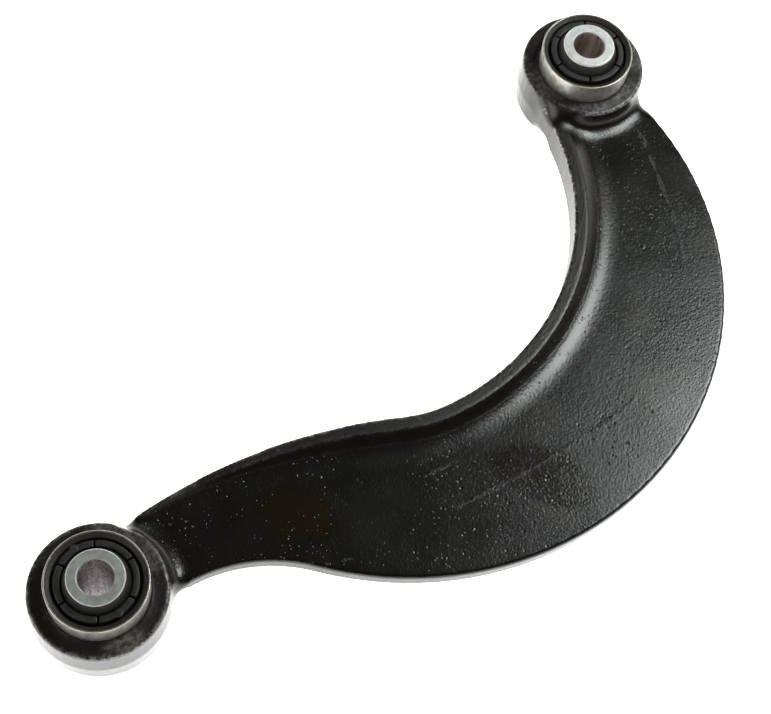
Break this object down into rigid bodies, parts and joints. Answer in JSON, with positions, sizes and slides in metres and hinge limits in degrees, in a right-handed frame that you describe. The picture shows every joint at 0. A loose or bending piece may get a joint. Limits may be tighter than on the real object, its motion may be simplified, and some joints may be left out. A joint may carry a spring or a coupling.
{
  "type": "suspension control arm",
  "caption": "Crescent-shaped forged suspension link with a raised inner rim and a pressed-in rubber bush in the eye at each end.",
  "frame": {"origin": "centre of the inboard bush's bore, at half its height", "axes": "+Z along the bush axes, +X from the inboard bush to the outboard bush, the crescent's back towards -Y"},
  "size_m": [0.3336, 0.147, 0.0472],
  "materials": {
    "forging": "satin black electrocoat over forged skin",
    "outer_sleeve": "bright drawn steel",
    "inner_sleeve": "zinc-plated steel with machined ends",
    "rubber": "moulded natural rubber, matt",
    "interleaf": "rubber-skinned moulded bars, matt"
  },
  "bodies": {
    "arm": {"arm_forging": "forging", "inboard_outer_sleeve": "outer_sleeve", "inboard_outer_rubber": "rubber", "outboard_outer_sleeve": "outer_sleeve", "outboard_outer_rubber": "rubber"},
    "inboard_interleaf": {"inboard_interleaf_1": "interleaf", "inboard_interleaf_2": "interleaf", "inboard_interleaf_3": "interleaf", "inboard_interleaf_4": "interleaf", "inboard_interleaf_5": "interleaf", "inboard_interleaf_6": "interleaf"},
    "inboard_sleeve": {"inboard_inner_sleeve": "inner_sleeve", "inboard_inner_rubber": "rubber"},
    "outboard_interleaf": {"outboard_interleaf_1": "interleaf", "outboard_interleaf_2": "interleaf", "outboard_interleaf_3": "interleaf", "outboard_interleaf_4": "interleaf", "outboard_interleaf_5": "interleaf", "outboard_interleaf_6": "interleaf"},
    "outboard_sleeve": {"outboard_inner_sleeve": "inner_sleeve", "outboard_inner_rubber": "rubber"}
  },
  "joints": [
    {"name": "inboard_sleeve_twist", "type": "hinge", "parent": "arm", "child": "inboard_sleeve", "pos_m": [0, 0, 0], "axis": [0, 0, 1], "range_deg": [-20, 20], "stiffness_Nm_per_rad": 105},
    {"name": "inboard_interleaf_twist", "type": "hinge", "parent": "arm", "child": "inboard_interleaf", "pos_m": [0, 0, 0], "axis": [0, 0, 1], "range_deg": [-6, 6]},
    {"name": "outboard_sleeve_twist", "type": "hinge", "parent": "arm", "child": "outboard_sleeve", "pos_m": [0.284, 0, 0], "axis": [0, 0, 1], "range_deg": [-20, 20], "stiffness_Nm_per_rad": 105},
    {"name": "outboard_interleaf_twist", "type": "hinge", "parent": "arm", "child": "outboard_interleaf", "pos_m": [0.284, 0, 0], "axis": [0, 0, 1], "range_deg": [-6, 6]}
  ],
  "couplings": [
    {"joint": "inboard_interleaf_twist", "follows": "inboard_sleeve_twist", "ratio": 0.29},
    {"joint": "outboard_interleaf_twist", "follows": "outboard_sleeve_twist", "ratio": 0.29}
  ]
}
